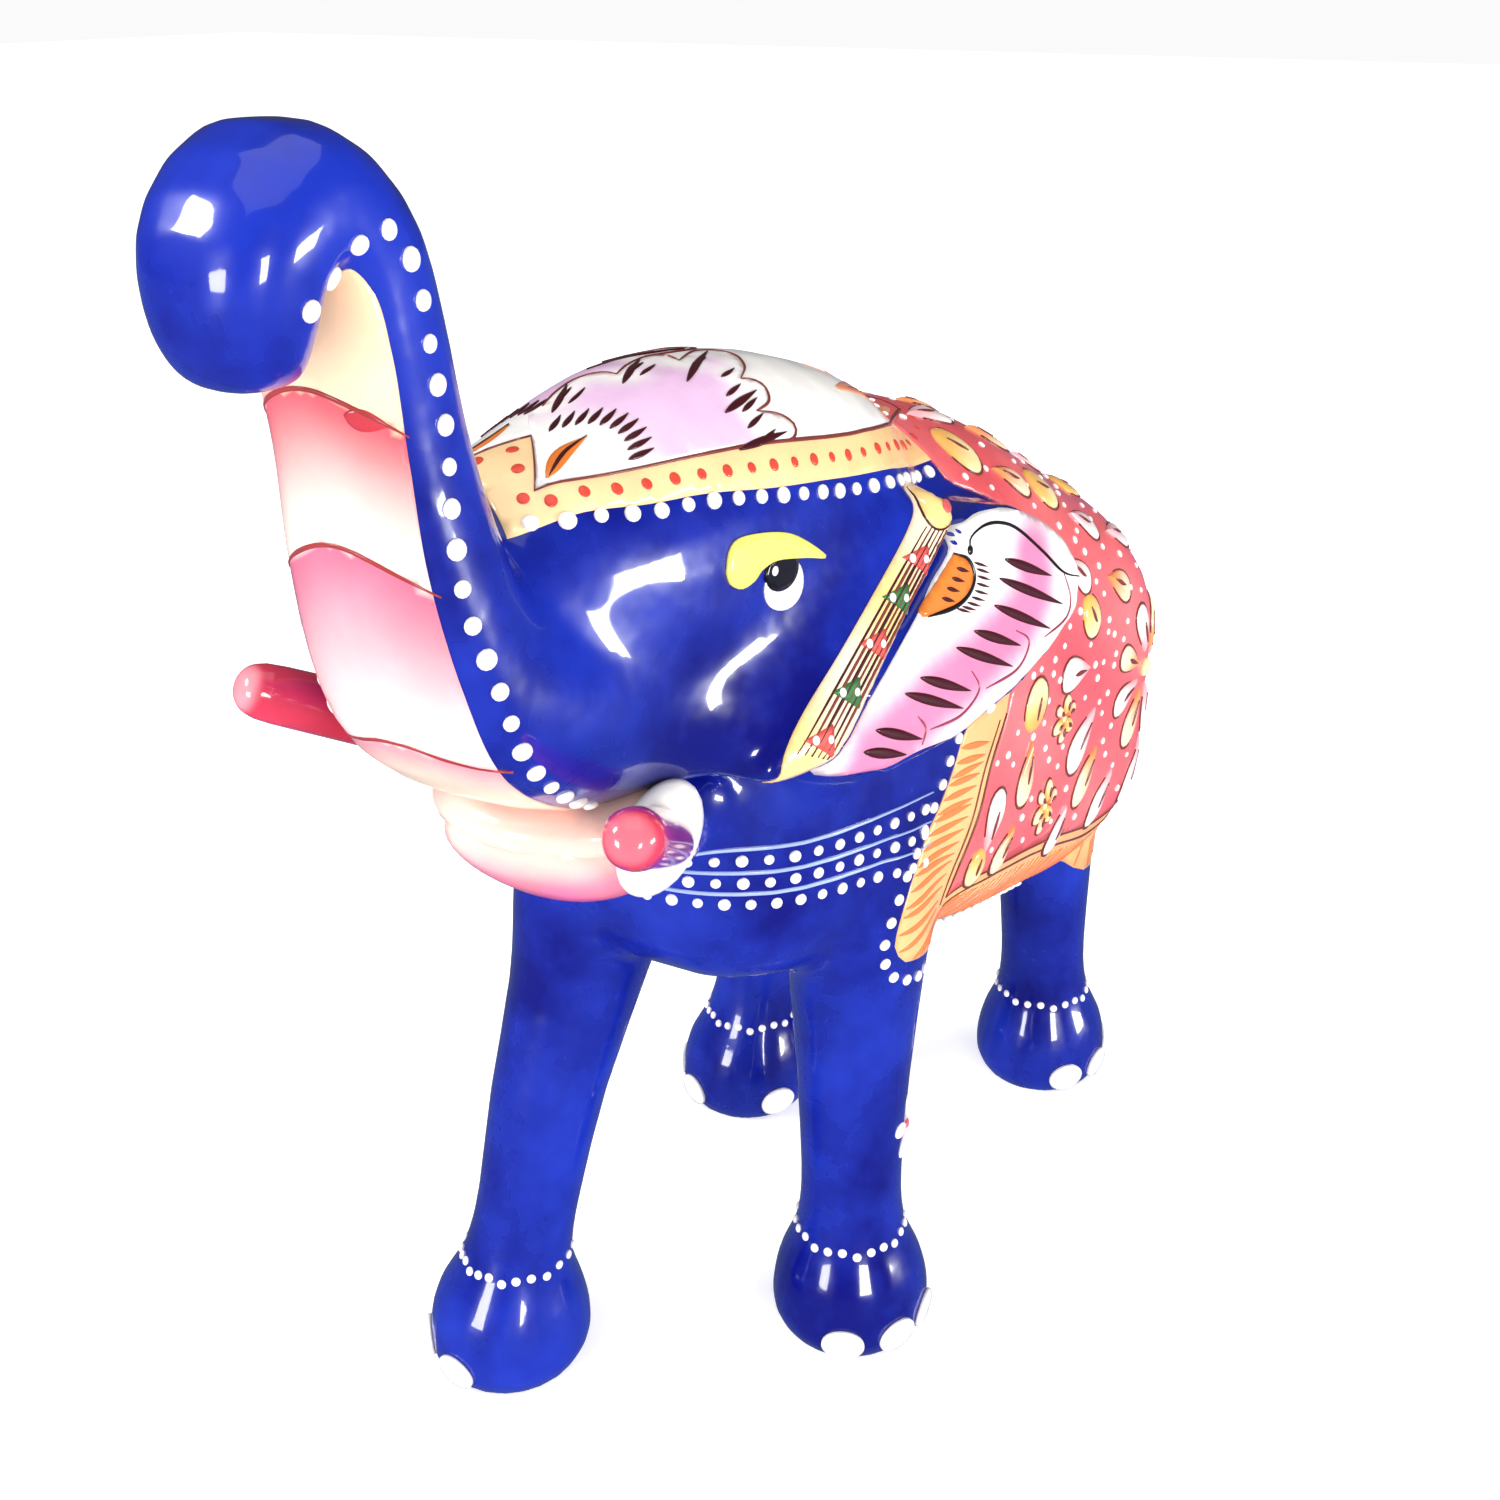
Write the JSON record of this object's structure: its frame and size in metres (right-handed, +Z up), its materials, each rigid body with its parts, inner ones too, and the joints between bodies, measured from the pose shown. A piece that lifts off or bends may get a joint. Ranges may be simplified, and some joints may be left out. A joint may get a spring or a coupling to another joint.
{
  "type": "carved elephant figurine",
  "caption": "Free-standing carved wooden elephant in a walking stance, trunk raised and curled over, with tusks, relief ears and raised enamel dots and petals.",
  "frame": {"origin": "the middle of the whole figure's outline on the surface that its feet stand on", "axes": "+Z up, the elephant faces -Y, its left side is +X"},
  "size_m": [0.0612, 0.1535, 0.1474],
  "materials": {
    "lacquered_wood": "deep blue lacquer over wood, glossy",
    "tusk_lacquer": "dark red lacquer over wood, glossy",
    "white_enamel": "thick white enamel paint, glossy",
    "petal_enamel": "raised cream and orange enamel relief, glossy",
    "eye_enamel": "black, white and yellow enamel, glossy"
  },
  "bodies": {
    "root": {"carved_body": "lacquered_wood", "tusk_left": "tusk_lacquer", "tusk_right": "tusk_lacquer", "eye_left": "eye_enamel", "eye_right": "eye_enamel", "trunk_dots_left": "white_enamel", "trunk_dots_right": "white_enamel", "head_cloth_dots_left": "white_enamel", "head_cloth_dots_right": "white_enamel", "chest_dots": "white_enamel", "anklet_front_left": "white_enamel", "anklet_front_right": "white_enamel", "anklet_rear_left": "white_enamel", "anklet_rear_right": "white_enamel", "toenails_front_left": "white_enamel", "toenails_front_right": "white_enamel", "toenails_rear_left": "white_enamel", "toenails_rear_right": "white_enamel", "saddle_cloth_dots_left": "white_enamel", "saddle_cloth_dots_right": "white_enamel", "saddle_petals_left": "petal_enamel", "saddle_petals_right": "petal_enamel", "saddle_rosette_left": "petal_enamel", "saddle_rosette_right": "petal_enamel"}
  },
  "joints": []
}
